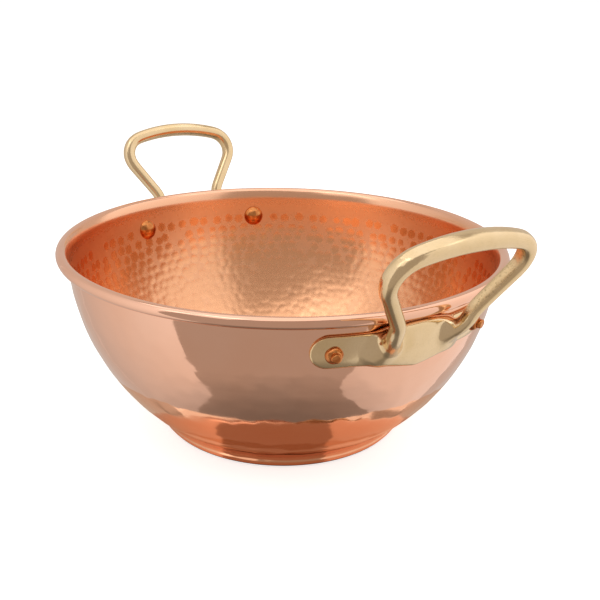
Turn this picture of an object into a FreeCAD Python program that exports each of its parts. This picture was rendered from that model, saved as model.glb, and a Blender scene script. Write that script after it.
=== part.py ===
"""Hammered copper mixing bowl with two riveted brass loop handles.

Frame: millimetres, +Z up, origin at the centre of the flat base on the surface it stands on.
The handles lie on +X (right) and -X (left). The bowl is one raised copper sheet with a pressed
foot and a rim curled over a steel wire. Each cast handle is held by two copper rivets, whose
button heads are inside the bowl and whose peened tails are outside.
"""
import FreeCAD, Part
import math
import os

# Copper sheet and bowl outline
SHEET = 1.2                # thickness of the copper sheet
BASE_R = 73.3              # radius of the flat base
FOOT_ARC_R = 5.8           # outer radius of the rounded foot
WALL_ARC_R = 135.4         # outer radius of the wall's arc
WALL_C = (-5.5, 113.7)     # centre of the wall's arc, as (radius, height)
WALL_JOIN_DEG = -1.9       # where on its arc the wall starts to flare into the rim
CREASE_FILLET = 1.5        # outer radius in the crease between foot and wall

# Curled rim over its wire
BEAD_Z = 113.8             # height of the rim wire's centre
CURL_IN_R = 2.0            # radius of the hollow in the curl
WIRE_R = 1.95              # radius of the rim wire
CURL_OUT_R = CURL_IN_R + SHEET
RIM_INNER_R = 130.0        # inner radius of the rim
BEAD_RC = RIM_INNER_R + CURL_OUT_R   # radius of the circle on which the curl's centre runs
CURL_END_DEG = -135.0      # where the curled edge of the sheet stops, under the bead

# Rivets
RIVET_DEG = 19.7           # angle of each rivet from the handle's middle plane
RIVET_DROP = 17.3          # depth of the rivets below the rim wire's centre
SHANK_R = 2.5
HEAD_R = 7.2               # button head inside the bowl
HEAD_H = 4.5
TAIL_R = 4.6               # peened dome outside the handle
TAIL_H = 3.2
NUB_R = 2.6                # shank end standing out of the dome
NUB_H = 2.0
NUB_ROOT = 1.2             # how far the nub starts inside the dome
NUB_FILLET = 0.6
SEAT_LAP = 0.6             # how far a head or tail is drawn past its seat, before it is cut to fit
HOLE_REACH = 20.0          # how far a punched hole is drawn on each side of the wall

# Handle plate against the wall
LOBE_THICK = 3.4           # thickness of the two end lobes, which the rivets go through
LOBE_HALF_H = 9.2          # half height of the lobes, and radius of their round ends
LOBE_HALF_L = 54.5         # half length of the plate, across the bowl
BRIDGE_THICK = 6.4         # thickness of the middle of the plate, between the legs
BRIDGE_HALF_L = 24.0
BRIDGE_TOP_DROP = 4.4      # top of the bridge's arched upper edge, below the rim wire's centre
BRIDGE_END_DROP = 8.2      # the same at the edge's two ends
BRIDGE_DIP = 4.5           # how far the lower edge dips in the middle, below the lobes
BRIDGE_CORNER_R = 6.0
PLATE_EDGE_FILLET = 1.1

# Handle loop: a strap that leans outward, described in its own developed plane by
# t (across the bowl) and h (up along the lean, 0 where the lean becomes constant)
LEAN = math.radians(24.4)
ROOT_LEAN = math.radians(62.0)    # lean of the strap where it leaves the plate
LOOP_X0 = 143.7            # strap centre at h = 0
LOOP_Z0 = BEAD_Z - 2.6
ROOT_H = 18.0              # length of the bend below h = 0
LEG_T0 = 23.0              # half distance between the legs at h = 0
LEG_ROOT_T = 18.4          # half distance between the legs at the root
LEG_BEND_R = 11.0          # radius of the bend by which the legs start to splay
LEG_SPLAY = math.radians(32.1)
CORNER_R = 13.6
CORNER_T = 26.6            # centre of the corner arc, across the bowl
ARCH_R = 111.0             # radius of the top bar's slight arch
BAR_HALF = (4.4, 5.4)      # half thickness and half width of the strap in the middle of the bar
LEG_HALF = (3.7, 3.9)      # the same at the foot of a leg
ROOT_HALF = (4.4, 4.4)     # the same at the root
BAR_SHARE_AT_CORNER = 0.45        # how much of the bar's size a leg has reached at the corner
BAR_SHARE_AFTER_CORNER = 0.8      # and where the bar begins
SECTION_FULLNESS = 0.10    # how far the strap's oval is pushed out towards its corners
SECTION_POINTS = 16
STATION_GAP = 4.4          # about how far apart the strap's sections are

V = FreeCAD.Vector
AXIS = V(0, 0, 1)
ORIGIN = V(0, 0, 0)
REACH = 220.0              # a length that takes a cutting prism clear of the bowl
BAND_MARGIN = 3.0          # how far the ring that a plate is cut from runs past the plate
TOUCH = 0.01               # two heights or places this close are the same
ON_FACE = 0.05             # an edge this close to a face lies on it


def polar(centre, radius, angle):
    """A point of the (radius, height) half plane, on a circle about centre."""
    return V(centre[0] + radius * math.cos(angle), 0, centre[1] + radius * math.sin(angle))


def arc(centre, radius, start, end):
    """An arc in the half plane, from one angle to another."""
    middle = (start + end) / 2
    points = [polar(centre, radius, a) for a in (start, middle, end)]
    return Part.Arc(*points).toShape()


def line(a, b):
    return Part.LineSegment(a, b).toShape()


def circles_meet(c1, r1, c2, r2):
    """The outer of the two points where two circles of the half plane meet, as an angle on each."""
    dx, dz = c2[0] - c1[0], c2[1] - c1[1]
    gap = math.hypot(dx, dz)
    along = (r1 * r1 - r2 * r2 + gap * gap) / (2 * gap)
    side = math.sqrt(r1 * r1 - along * along)
    found = []
    for sign in (1, -1):
        x = c1[0] + (along * dx + sign * side * dz) / gap
        z = c1[1] + (along * dz - sign * side * dx) / gap
        found.append((x, z))
    x, z = max(found)
    return math.atan2(z - c1[1], x - c1[0]), math.atan2(z - c2[1], x - c2[0])


def flare_arc():
    """Centre and inner radius of the arc that carries the wall into the curl, tangent to both."""
    normal = (math.cos(WALL_JOIN), math.sin(WALL_JOIN))
    start = [c + (WALL_ARC_R - SHEET) * n for c, n in zip(WALL_C, normal)]
    gap = [s - b for s, b in zip(start, BEAD_C)]
    along = gap[0] * normal[0] + gap[1] * normal[1]
    radius = (CURL_OUT_R ** 2 - gap[0] ** 2 - gap[1] ** 2) / (2 * (along + CURL_OUT_R))
    return tuple(s + radius * n for s, n in zip(start, normal)), radius


FOOT_C = (BASE_R, FOOT_ARC_R)
BEAD_C = (BEAD_RC, BEAD_Z)
WALL_JOIN = math.radians(WALL_JOIN_DEG)
FLARE_C, FLARE_R = flare_arc()
FLARE_START = math.pi + WALL_JOIN
FLARE_END = math.atan2(BEAD_C[1] - FLARE_C[1], BEAD_C[0] - FLARE_C[0])


def sheet_face():
    """Half section of the copper sheet, from the axis out to the curled edge and back."""
    foot_out, wall_out = circles_meet(FOOT_C, FOOT_ARC_R, WALL_C, WALL_ARC_R)
    foot_in, wall_in = circles_meet(FOOT_C, FOOT_ARC_R - SHEET, WALL_C, WALL_ARC_R - SHEET)
    curl_end = math.radians(CURL_END_DEG)
    down = -math.pi / 2
    edges = [
        line(ORIGIN, polar(FOOT_C, FOOT_ARC_R, down)),
        arc(FOOT_C, FOOT_ARC_R, down, foot_out),
        arc(WALL_C, WALL_ARC_R, wall_out, WALL_JOIN),
        arc(FLARE_C, FLARE_R - SHEET, FLARE_START, FLARE_END),
        arc(BEAD_C, CURL_IN_R, FLARE_END, curl_end),
        line(polar(BEAD_C, CURL_IN_R, curl_end), polar(BEAD_C, CURL_OUT_R, curl_end)),
        arc(BEAD_C, CURL_OUT_R, curl_end, FLARE_END),
        arc(FLARE_C, FLARE_R, FLARE_END, FLARE_START),
        arc(WALL_C, WALL_ARC_R - SHEET, WALL_JOIN, wall_in),
        arc(FOOT_C, FOOT_ARC_R - SHEET, foot_in, down),
        line(polar(FOOT_C, FOOT_ARC_R - SHEET, down), V(0, 0, SHEET)),
        line(V(0, 0, SHEET), ORIGIN),
    ]
    return Part.Face(Part.Wire(edges))


def crease_edges(shell):
    """The two round edges of the crease between the foot and the wall."""
    found = []
    for edge in shell.Edges:
        box = edge.BoundBox
        flat = box.ZLength < TOUCH
        if flat and 2 * SHEET < box.ZMin < 2 * FOOT_ARC_R:
            found.append(edge)
    return sorted(found, key=lambda e: e.BoundBox.XLength, reverse=True)


def bowl_blank():
    """The raised bowl before its rivet holes are punched."""
    blank = sheet_face().revolve(ORIGIN, AXIS, 360)
    outer, inner = crease_edges(blank)
    blank = blank.makeFillet(CREASE_FILLET, [outer])
    inner = crease_edges(blank)[-1]
    return blank.makeFillet(CREASE_FILLET + SHEET, [inner])


def rim_wire():
    return Part.makeTorus(BEAD_RC, WIRE_R, V(0, 0, BEAD_Z), AXIS)


def wall_band(thickness, low, high):
    """A full ring that lies on the outside of the wall between two heights."""
    below = math.asin((low - WALL_C[1]) / WALL_ARC_R)
    above = math.asin((high - WALL_C[1]) / WALL_ARC_R)
    outer_r = WALL_ARC_R + thickness
    edges = [
        arc(WALL_C, WALL_ARC_R, below, above),
        line(polar(WALL_C, WALL_ARC_R, above), polar(WALL_C, outer_r, above)),
        arc(WALL_C, outer_r, above, below),
        line(polar(WALL_C, outer_r, below), polar(WALL_C, WALL_ARC_R, below)),
    ]
    # the ring's seam goes on the side away from the handle
    return mirrored(Part.Face(Part.Wire(edges)).revolve(ORIGIN, AXIS, 360))


def stadium(half_length, half_height, z):
    """A prism along +X with a stadium outline, round ended across Y."""
    run = half_length - half_height
    corners = [V(0, y, z + up) for y, up in ((-run, -half_height), (run, -half_height),
                                             (run, half_height), (-run, half_height))]
    tips = [V(0, run + half_height, z), V(0, -run - half_height, z)]
    outline = Part.Wire([
        line(corners[0], corners[1]),
        Part.Arc(corners[1], tips[0], corners[2]).toShape(),
        line(corners[2], corners[3]),
        Part.Arc(corners[3], tips[1], corners[0]).toShape(),
    ])
    return Part.Face(outline).extrude(V(REACH, 0, 0))


def bridge_prism():
    """A prism along +X with the bridge's outline: arched on top, with a gentle corner underneath."""
    lobe_low = BEAD_Z - RIVET_DROP - LOBE_HALF_H
    low, dip = [V(0, way * BRIDGE_HALF_L, lobe_low) for way in (-1, 1)], V(0, 0, lobe_low - BRIDGE_DIP)
    top = [V(0, way * BRIDGE_HALF_L, BEAD_Z - BRIDGE_END_DROP) for way in (1, -1)]
    crown = V(0, 0, BEAD_Z - BRIDGE_TOP_DROP)
    outline = Part.Wire([line(low[0], dip), line(dip, low[1]), line(low[1], top[0]),
                         Part.Arc(top[0], crown, top[1]).toShape(), line(top[1], low[0])])
    prism = Part.Face(outline).extrude(V(REACH, 0, 0))
    ends = [e for e in prism.Edges
            if e.BoundBox.XLength > REACH - 1 and abs(e.BoundBox.Center.y) > BRIDGE_HALF_L - 1]
    return prism.makeFillet(BRIDGE_CORNER_R, ends)


def outer_edges(solid, radius):
    """Edges of a plate piece that lie on its outer face, at that distance from the wall's centre."""
    found = []
    for edge in solid.Edges:
        mid = edge.valueAt((edge.FirstParameter + edge.LastParameter) / 2)
        out = math.hypot(math.hypot(mid.x, mid.y) - WALL_C[0], mid.z - WALL_C[1])
        if abs(out - radius) < ON_FACE:
            found.append(edge)
    return found


def plate_piece(prism, thickness, edge_fillet):
    """The part of the wall band inside a prism, with its outer edges rounded."""
    box = prism.BoundBox
    band = wall_band(thickness, box.ZMin - BAND_MARGIN, box.ZMax + BAND_MARGIN)
    piece = band.common(prism).Solids[0]
    return piece.makeFillet(edge_fillet, outer_edges(piece, WALL_ARC_R + thickness))


def lean_at(h):
    """Lean of the strap from upright at the developed height h."""
    if h >= 0:
        return LEAN
    return LEAN + (ROOT_LEAN - LEAN) * (-h / ROOT_H)


def place(t, h):
    """A point of the developed plane, put in the bowl's frame."""
    if h >= 0:
        return V(LOOP_X0 + h * math.sin(LEAN), t, LOOP_Z0 + h * math.cos(LEAN))
    # below h = 0 the lean grows evenly, so the strap's middle line is an arc
    radius = ROOT_H / (ROOT_LEAN - LEAN)
    turn = lean_at(h)
    dx = radius * (math.cos(turn) - math.cos(LEAN))
    dz = radius * (math.sin(turn) - math.sin(LEAN))
    return V(LOOP_X0 + dx, t, LOOP_Z0 - dz)


def smooth(share):
    return share * share * (3 - 2 * share)


def mix(a, b, share):
    """A smooth step from the pair a to the pair b."""
    return tuple(x + (y - x) * smooth(share) for x, y in zip(a, b))


def shares(length):
    """Even steps from 0 up to, but not including, 1, about a station gap apart on that length."""
    count = round(length / STATION_GAP)
    return [i / count for i in range(count)]


def half_loop():
    """Stations from the root of the +Y leg to the middle of the bar: (t, h, section half sizes)."""
    bend_t = LEG_T0 + LEG_BEND_R * (1 - math.cos(LEG_SPLAY))
    bend_h = LEG_BEND_R * math.sin(LEG_SPLAY)
    leg_run = (CORNER_T + CORNER_R * math.cos(LEG_SPLAY) - bend_t) / math.sin(LEG_SPLAY)
    corner_h = bend_h + leg_run * math.cos(LEG_SPLAY) + CORNER_R * math.sin(LEG_SPLAY)
    arch_h = corner_h - math.sqrt((ARCH_R - CORNER_R) ** 2 - CORNER_T ** 2)
    arch_turn = math.asin(CORNER_T / (ARCH_R - CORNER_R))
    corner_turn = math.pi / 2 - arch_turn + LEG_SPLAY
    stations = []
    for share in shares(ROOT_H):
        t = LEG_ROOT_T + (LEG_T0 - LEG_ROOT_T) * smooth(share)
        stations.append((t, -ROOT_H * (1 - share), mix(ROOT_HALF, LEG_HALF, share)))
    for share in shares(LEG_BEND_R * LEG_SPLAY):
        turn = LEG_SPLAY * share
        t = LEG_T0 + LEG_BEND_R * (1 - math.cos(turn))
        stations.append((t, LEG_BEND_R * math.sin(turn), LEG_HALF))
    for share in shares(leg_run):
        run = leg_run * share
        size = mix(LEG_HALF, BAR_HALF, BAR_SHARE_AT_CORNER * share)
        stations.append((bend_t + run * math.sin(LEG_SPLAY), bend_h + run * math.cos(LEG_SPLAY), size))
    for share in shares(CORNER_R * corner_turn):
        turn = corner_turn * share - LEG_SPLAY
        grown = BAR_SHARE_AT_CORNER + (BAR_SHARE_AFTER_CORNER - BAR_SHARE_AT_CORNER) * share
        size = mix(LEG_HALF, BAR_HALF, grown)
        stations.append((CORNER_T + CORNER_R * math.cos(turn), corner_h + CORNER_R * math.sin(turn), size))
    for share in shares(ARCH_R * arch_turn) + [1.0]:
        turn = arch_turn * (1 - share)
        size = mix(LEG_HALF, BAR_HALF, BAR_SHARE_AFTER_CORNER + (1 - BAR_SHARE_AFTER_CORNER) * share)
        stations.append((ARCH_R * math.sin(turn), arch_h + ARCH_R * math.cos(turn), size))
    return stations


def section(centre, along, normal, size):
    """A closed smooth oval across the strap: thin in its plane, wide along normal."""
    side = along.cross(normal).normalize()
    points = []
    for i in range(SECTION_POINTS):
        a = 2 * math.pi * i / SECTION_POINTS
        # a soft rectangle: an ellipse pushed out towards its corners
        full = 1 + SECTION_FULLNESS * math.sin(2 * a) ** 2
        points.append(centre + side * (size[0] * full * math.cos(a))
                      + normal * (size[1] * full * math.sin(a)))
    curve = Part.BSplineCurve()
    curve.interpolate(points, PeriodicFlag=True)
    return Part.Wire(curve.toShape())


def handle_loop():
    """The strap, lofted from one root over the bar to the other root."""
    half = half_loop()
    whole = half + [(-t, h, size) for t, h, size in reversed(half[:-1])]
    centres = [place(t, h) for t, h, _ in whole]
    wires = []
    for i, (_, h, size) in enumerate(whole):
        before = centres[max(i - 1, 0)]
        after = centres[min(i + 1, len(centres) - 1)]
        along = (after - before).normalize()
        lean = lean_at(h)
        out = V(math.cos(lean), 0, -math.sin(lean))
        out = (out - along * out.dot(along)).normalize()
        wires.append(section(centres[i], along, out, size))
    return Part.makeLoft(wires, True, False)


def casting():
    """The whole handle: two thin lobes and a thicker bridge that lie on the wall, and the loop."""
    lobes = stadium(LOBE_HALF_L, LOBE_HALF_H, BEAD_Z - RIVET_DROP)
    bridge = plate_piece(bridge_prism(), BRIDGE_THICK, 2 * PLATE_EDGE_FILLET)
    return bridge.fuse(handle_loop()).fuse(plate_piece(lobes, LOBE_THICK, PLATE_EDGE_FILLET))


def rivet_frame(side):
    """Where a rivet meets the outside of the wall, and its outward axis; side is +1 or -1, across Y."""
    drop = math.asin((WALL_C[1] - (BEAD_Z - RIVET_DROP)) / WALL_ARC_R)
    turn = side * math.radians(RIVET_DEG)
    r = WALL_C[0] + WALL_ARC_R * math.cos(drop)
    seat = V(r * math.cos(turn), r * math.sin(turn), BEAD_Z - RIVET_DROP)
    out = V(math.cos(drop) * math.cos(turn), math.cos(drop) * math.sin(turn), -math.sin(drop))
    return seat, out


def rivet_hole(side):
    seat, out = rivet_frame(side)
    return Part.makeCylinder(SHANK_R, 2 * HOLE_REACH, seat - out * HOLE_REACH, out)


def cap_arc(base_x, radius, height):
    """Profile of a domed cap: a point on its rim, one half way up and its top, along (x, r)."""
    ball = (radius * radius + height * height) / (2 * height)
    centre_x = base_x + height - ball
    rim = math.atan2(radius, base_x - centre_x)
    middle = V(centre_x + ball * math.cos(rim / 2), ball * math.sin(rim / 2), 0)
    return V(base_x, radius, 0), middle, V(base_x + height, 0, 0)


def turned_cap(seat, radius, height):
    """A domed cap about the X axis that bulges towards +X from its seat."""
    rim, middle, top = cap_arc(seat, radius, height)
    low = seat - SEAT_LAP
    half = Part.Face(Part.Wire([
        line(V(low, 0, 0), V(low, radius, 0)),
        line(V(low, radius, 0), rim),
        Part.Arc(rim, middle, top).toShape(),
        line(top, V(low, 0, 0)),
    ]))
    return half.revolve(ORIGIN, V(1, 0, 0), 360)


def rivet_blank():
    """Head, shank and tail of a rivet along +X, whose seat on the outside of the wall is at x = 0."""
    head = turned_cap(0, HEAD_R, HEAD_H)
    head.rotate(ORIGIN, AXIS, 180)
    head.translate(V(-SHEET, 0, 0))
    shank = Part.makeCylinder(SHANK_R, LOBE_THICK + SHEET, V(-SHEET, 0, 0), V(1, 0, 0))
    nub_from = LOBE_THICK + TAIL_H - NUB_ROOT
    nub = Part.makeCylinder(NUB_R, NUB_H + NUB_ROOT, V(nub_from, 0, 0), V(1, 0, 0))
    far = nub.BoundBox.XMax
    nub = nub.makeFillet(NUB_FILLET, [e for e in nub.Edges if abs(e.BoundBox.XMin - far) < TOUCH])
    return head, shank, turned_cap(LOBE_THICK, TAIL_R, TAIL_H).fuse(nub)


def rivet(side, shell, handle):
    """The rivet set in place: its head and tail are hammered to the faces they sit on."""
    seat, out = rivet_frame(side)
    turn = FreeCAD.Placement(seat, FreeCAD.Rotation(V(1, 0, 0), out))
    head, shank, tail = (piece.transformed(turn.toMatrix()) for piece in rivet_blank())
    return head.cut(shell).fuse([shank, tail.cut(handle)]).removeSplitter()


def mirrored(shape):
    """The same piece on the other handle, half a turn round the bowl."""
    copy = shape.copy()
    copy.rotate(ORIGIN, AXIS, 180)
    return copy


def build():
    blank = bowl_blank()
    holes = [rivet_hole(side) for side in (1, -1)]
    holes += [mirrored(h) for h in holes]
    shell = blank.cut(holes)
    # the legs' stubs that reach through the sheet fall away when the casting is cut back to the wall
    cut_back = max(casting().cut(blank).Solids, key=lambda solid: solid.Volume)
    handle = cut_back.cut(holes[:2]).removeSplitter()
    front, back = rivet(-1, shell, handle), rivet(1, shell, handle)
    return {
        "bowl_shell": shell,
        "rim_wire": rim_wire(),
        "handle_right": handle,
        "handle_left": mirrored(handle),
        "rivet_right_front": front,
        "rivet_right_back": back,
        "rivet_left_front": mirrored(back),
        "rivet_left_back": mirrored(front),
    }


def main():
    os.makedirs("parts", exist_ok=True)
    for name, shape in build().items():
        shape.exportStep(f"parts/{name}.step")
        print(name, "valid", shape.isValid(), "solids", len(shape.Solids), "mm3", round(shape.Volume))


main()
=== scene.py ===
"""Looks for the hammered copper bowl: hammered sheet, cast brass handles, peened copper rivets.

Shapes are worked out in millimetres, in the CAD model's frame, and turned to metres when a mesh is made.
The studio's lights and floor are placed in metres.
"""
import math

import bpy
import numpy as np
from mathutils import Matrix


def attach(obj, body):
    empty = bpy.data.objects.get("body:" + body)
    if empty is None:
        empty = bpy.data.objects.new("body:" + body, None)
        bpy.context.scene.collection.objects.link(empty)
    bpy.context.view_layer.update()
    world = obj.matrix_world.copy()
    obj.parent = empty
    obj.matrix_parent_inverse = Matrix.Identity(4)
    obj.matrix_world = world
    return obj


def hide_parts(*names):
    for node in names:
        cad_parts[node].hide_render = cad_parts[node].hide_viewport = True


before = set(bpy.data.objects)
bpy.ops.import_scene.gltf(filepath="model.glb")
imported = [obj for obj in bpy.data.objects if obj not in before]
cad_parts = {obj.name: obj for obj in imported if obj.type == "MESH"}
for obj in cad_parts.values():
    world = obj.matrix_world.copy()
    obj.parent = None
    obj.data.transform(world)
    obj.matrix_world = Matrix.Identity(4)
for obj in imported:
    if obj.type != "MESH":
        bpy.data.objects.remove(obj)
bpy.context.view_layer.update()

import openvdb
from mathutils import Quaternion, Vector, kdtree

MM = 0.001
rng = np.random.default_rng(26)

# The bowl's outline, as in the CAD model
SHEET = 1.2
BASE_R = 73.3                    # flat part of the base
FOOT_R = 5.8                     # rounding from the base to the wall, outside
WALL_C = np.array((-5.5, 113.7))     # centre of the wall's arc, as (radius, height)
WALL_R = 135.4
WALL_JOIN = math.radians(-1.9)   # where on its arc the wall runs into the flare
BEAD_Z, RIM_R = 113.8, 130.0
CURL_IN_R = 2.0
CURL_OUT_R = CURL_IN_R + SHEET
BEAD_C = np.array((RIM_R + CURL_OUT_R, BEAD_Z))
CURL_END = math.radians(-135.0)

# Rivets and handle plate, as in the CAD model
RIVET_TURN, RIVET_Z = math.radians(19.7), BEAD_Z - 17.3
RIVET_LEAN = math.asin((WALL_C[1] - RIVET_Z) / WALL_R)   # how far a rivet points below the level
RIVET_SEAT_R = WALL_C[0] + WALL_R * math.cos(RIVET_LEAN)
RIVETS = {("right", "front"): -RIVET_TURN, ("right", "back"): RIVET_TURN,
          ("left", "front"): math.pi + RIVET_TURN, ("left", "back"): math.pi - RIVET_TURN}
HEAD_R, HEAD_H = 7.2, 4.5        # button inside the bowl
TAIL_R, TAIL_H = 4.6, 3.2        # peened dome outside the handle
NUB_R, NUB_H = 2.6, 2.0          # end of the shank, proud of the dome
LOBE_THICK, LOBE_HALF_H, LOBE_HALF_L = 3.4, 9.2, 54.5
BRIDGE_THICK, BRIDGE_HALF_L = 6.4, 24.0
BRIDGE_TOP_DROP, BRIDGE_END_DROP = 4.4, 8.2      # from the bead down to its upper edge: middle and ends
BRIDGE_DIP = 4.5                 # how far its lower edge dips in the middle


# ---------------------------------------------------------------- meshes

def add_object(name, data):
    thing = bpy.data.objects.new(name, data)
    bpy.context.scene.collection.objects.link(thing)
    return thing


def make_piece(name, points_mm, faces, node, material):
    """A mesh object in the row frame that stands for a CAD node."""
    mesh = bpy.data.meshes.new(name)
    mesh.from_pydata((np.asarray(points_mm) * MM).tolist(), [], [list(f) for f in faces])
    mesh.polygons.foreach_set("use_smooth", [True] * len(mesh.polygons))
    mesh.materials.append(material)
    piece = add_object(name, mesh)
    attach(piece, "root")
    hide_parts(node)
    return piece


def add_mask(piece, name, values):
    """A number for each vertex, which the material reads."""
    layer = piece.data.attributes.new(name, "FLOAT", "POINT")
    layer.data.foreach_set("value", np.asarray(values, np.float32))


def smooth_step(low, high, x):
    t = np.clip((x - low) / (high - low), 0, 1)
    return t * t * (3 - 2 * t)


# ---------------------------------------------------------------- the sheet's half section

SECTION_STEP = 0.1               # between the points of the section's lines
FOOT_EASE_IN = (6.0, 1.3)        # reach and width of the easing where foot and wall meet, inside
FOOT_EASE_OUT = (5.0, 0.9)       # the same outside


def circle_points(centre, radius, start, end, count):
    """Points on a circle in a plane, from one angle to just before another."""
    a = np.linspace(start, end, count, endpoint=False)
    return np.stack([centre[0] + radius * np.cos(a), centre[1] + radius * np.sin(a)], 1)


def arc(centre, radius, start, end):
    """An arc of the section, its end left out."""
    count = max(2, int(abs(end - start) * radius / SECTION_STEP))
    return circle_points(centre, radius, start, end, count)


def run(start, end):
    """A straight line of the section, its end left out."""
    start, end = np.array(start, float), np.array(end, float)
    count = max(2, int(np.linalg.norm(end - start) / SECTION_STEP))
    return start + (end - start) * np.linspace(0, 1, count, endpoint=False)[:, None]


def circles_meet(c1, r1, c2, r2):
    """The outer point where two circles meet, as an angle on each."""
    d = np.array(c2) - np.array(c1)
    gap = np.linalg.norm(d)
    along = (r1 * r1 - r2 * r2 + gap * gap) / (2 * gap)
    side = math.sqrt(r1 * r1 - along * along)
    found = [np.array(c1) + (along * d + s * side * np.array((d[1], -d[0]))) / gap for s in (1, -1)]
    p = max(found, key=lambda q: q[0])
    return [math.atan2(p[1] - c[1], p[0] - c[0]) for c in (c1, c2)]


def flare():
    """The arc that carries the inside of the wall into the curl: centre, radius, first and last angle."""
    normal = np.array((math.cos(WALL_JOIN), math.sin(WALL_JOIN)))
    start = WALL_C + (WALL_R - SHEET) * normal
    gap = start - BEAD_C
    radius = (CURL_OUT_R ** 2 - gap @ gap) / (2 * (gap @ normal + CURL_OUT_R))
    centre = start + radius * normal
    end = math.atan2(BEAD_C[1] - centre[1], BEAD_C[0] - centre[0])
    return centre, radius, math.pi + WALL_JOIN, end


def eased(points, sigma):
    """A line of evenly spaced points with its bends eased, sigma steps wide."""
    half = int(3 * sigma)
    weights = np.exp(-0.5 * (np.arange(-half, half + 1) / sigma) ** 2)
    weights /= weights.sum()
    # the line runs on straight past both ends, so that they stay where they are
    before = points[0] - (points[half:0:-1] - points[0])
    after = points[-1] - (points[-2:-half - 2:-1] - points[-1])
    padded = np.concatenate([before, points, after])
    return np.stack([np.convolve(padded[:, k], weights, "valid") for k in (0, 1)], 1)


def soften(points, middle, reach, width):
    """Eases a line of the section near one place, where it has a crease."""
    share = 1 - smooth_step(0.5 * reach, reach, np.linalg.norm(points - middle, axis=1))
    return points + share[:, None] * (eased(points, width / SECTION_STEP) - points)


def sheet_sides():
    """The inside from the axis to the flare, the curl, and the outside from the flare to the axis."""
    foot_c = np.array((BASE_R, FOOT_R))
    down = -math.pi / 2
    centre, radius, start, end = flare()
    foot_in, wall_in = circles_meet(foot_c, FOOT_R - SHEET, WALL_C, WALL_R - SHEET)
    foot_out, wall_out = circles_meet(foot_c, FOOT_R, WALL_C, WALL_R)
    edge = np.array((math.cos(CURL_END), math.sin(CURL_END)))
    inside = np.concatenate([
        run((0, SHEET), (BASE_R, SHEET)),
        arc(foot_c, FOOT_R - SHEET, down, foot_in),
        arc(WALL_C, WALL_R - SHEET, wall_in, WALL_JOIN),
    ])
    curl = np.concatenate([
        arc(centre, radius, start, end),
        arc(BEAD_C, CURL_OUT_R, end, CURL_END),
        run(BEAD_C + CURL_OUT_R * edge, BEAD_C + CURL_IN_R * edge),
        arc(BEAD_C, CURL_IN_R, CURL_END, end),
        arc(centre, radius - SHEET, end, start),
    ])
    outside = np.concatenate([
        arc(WALL_C, WALL_R, WALL_JOIN, wall_out),
        arc(foot_c, FOOT_R, foot_out, down),
        run((BASE_R, 0), (0, 0)),
        [(0.0, 0.0)],
    ])
    crease = [foot_c + r * np.array((math.cos(a), math.sin(a)))
              for a, r in ((foot_in, FOOT_R - SHEET), (foot_out, FOOT_R))]
    return soften(inside, crease[0], *FOOT_EASE_IN), curl, soften(outside, crease[1], *FOOT_EASE_OUT)


def lengths(points):
    """Distance along a line of points, from its first."""
    steps = np.linalg.norm(np.diff(points, axis=0), axis=1)
    return np.concatenate([[0], np.cumsum(steps)])


# ---------------------------------------------------------------- hammer marks

# Marks inside: sparse in the first row, and crowded from the eighth row down
ROW_FIRST_Z = RIVET_Z - 1.2      # height of the first row
CROWD_ROWS = 7                   # rows over which the marks draw together
ROW_GAP_FIRST = 8.2              # from the first row to the second
ROW_GAP, ROW_CLOSER = 6.9, 1.7   # between later rows, and how much less where crowded
MARK_GAP, MARK_CLOSER = 9.3, 3.7     # between the marks of a row, and how much less where crowded
MARKS_END = 1.5                  # no row is nearer than this to the base's middle
MARK_R, MARK_WIDER = 3.15, 0.16  # radius, and the share that crowded marks are wider
MARK_DEPTH = 0.05
DEPTH_SHARE, DEPTH_CROWDED = 0.6, 2.6    # share of it in the first row, and how much more where crowded
CROWD_DULL = 0.75                # how much less crowded marks shine than those of the first row
AROUND_SPREAD = 0.13             # uneven places along a row, as a share of the distance between marks
OFF_SPREAD, OFF_CROWDED = 0.35, 0.5      # uneven places across a row, and how much more where crowded
SIZE_SPREAD = 0.07
DEPTH_SPREAD = (0.75, 1.25)
MISSED = 0.05                    # share of the marks that are left out
RIVET_CLEAR = 2.2                # no mark's middle is nearer than this to a rivet's button
MARK_POWER = 3                   # a mark is flat in its middle and steep at its edge
SHINE_EDGE = 7                   # how sharply the shine ends at a mark's edge

# Flat patches outside
FACET, FACET_DEPTH = 10.5, 0.085
FACET_ROWS = 0.9                 # distance between rows, as a share of a facet
FACET_SPREAD = 0.2               # uneven places, as a share of a facet
FACETS_END = 2.0                 # no row is nearer than this to the flare or to the base's middle
FACET_SOFT = 0.05                # softness of the ridges between facets
FACET_NEAR = 5                   # number of facets that each point takes its height from
FACETS_FADE_TOP = (-8, -16)      # heights from the bead's middle over which they fade in below the rim
FACETS_FADE_FOOT = (1.0, 4.0)    # heights over which they fade in above the base


def rivet_points():
    """Where the rivets go through the outside of the wall."""
    return [(RIVET_SEAT_R * math.cos(t), RIVET_SEAT_R * math.sin(t), RIVET_Z) for t in RIVETS.values()]


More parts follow.
